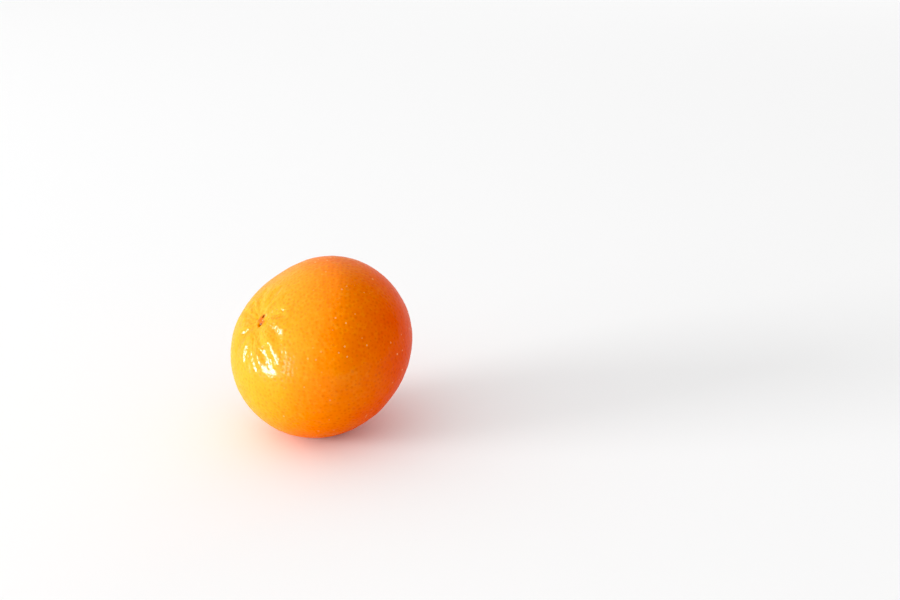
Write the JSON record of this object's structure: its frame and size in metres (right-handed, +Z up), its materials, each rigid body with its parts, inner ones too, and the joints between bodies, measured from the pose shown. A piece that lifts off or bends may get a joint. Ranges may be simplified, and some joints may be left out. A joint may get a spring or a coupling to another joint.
{
  "type": "mandarin",
  "caption": "Whole unpeeled mandarin lying on its side on a small flat spot, with a puckered hollow at the stem scar and a shallow hollow at the blossom end.",
  "frame": {"origin": "on the surface that the fruit lies on, under the middle of its outline", "axes": "+Z up, square to the flat spot that the fruit rests on; +X to the right and +Y away, seen from the side where the stem scar shows on the left"},
  "size_m": [0.0574, 0.059, 0.0546],
  "materials": {
    "peel": "satin"
  },
  "bodies": {
    "root": {"mandarin": "peel"}
  },
  "joints": []
}
